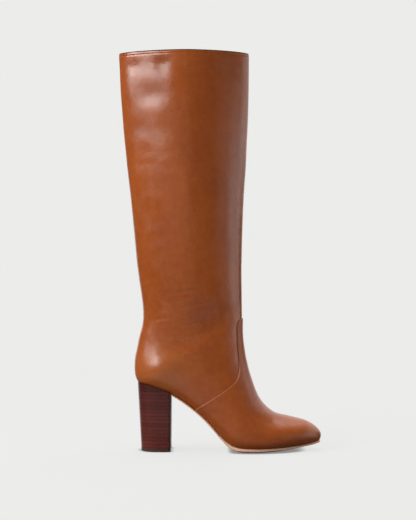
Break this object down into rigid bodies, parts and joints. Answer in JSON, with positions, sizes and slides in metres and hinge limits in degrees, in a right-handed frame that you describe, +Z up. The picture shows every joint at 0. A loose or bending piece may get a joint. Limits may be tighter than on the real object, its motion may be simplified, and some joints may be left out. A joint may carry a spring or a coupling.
{
  "type": "knee-high boot",
  "caption": "Right-foot knee-high pull-on boot with a straight shaft, a vamp that runs up the shin, a thin leather sole and a tall stacked block heel.",
  "frame": {"origin": "on the floor, at the middle of the heel's tread", "axes": "+X from the heel to the toe, +Y to the wearer's left, which is the inner side of this right boot, +Z up"},
  "size_m": [0.2532, 0.0842, 0.4945],
  "materials": {
    "shaft_leather": "smooth cognac calf leather, soft sheen",
    "vamp_leather": "smooth cognac calf leather, soft sheen",
    "insole_leather": "matt natural leather",
    "sole_leather": "natural sole leather, waxed pale edge",
    "heel_leather": "stacked lifts, dark mahogany, polished",
    "heel_rubber": "matt dark brown rubber"
  },
  "bodies": {
    "root": {"upper": "shaft_leather", "vamp": "vamp_leather", "insole": "insole_leather", "outsole": "sole_leather", "top_piece": "heel_rubber", "heel_lift_01": "heel_leather", "heel_lift_02": "heel_leather", "heel_lift_03": "heel_leather", "heel_lift_04": "heel_leather", "heel_lift_05": "heel_leather", "heel_lift_06": "heel_leather", "heel_lift_07": "heel_leather", "heel_lift_08": "heel_leather", "heel_lift_09": "heel_leather", "heel_lift_10": "heel_leather", "heel_lift_11": "heel_leather", "heel_lift_12": "heel_leather", "heel_lift_13": "heel_leather", "heel_lift_14": "heel_leather", "heel_lift_15": "heel_leather", "heel_lift_16": "heel_leather", "heel_lift_17": "heel_leather", "heel_lift_18": "heel_leather", "heel_lift_19": "heel_leather"}
  },
  "joints": []
}
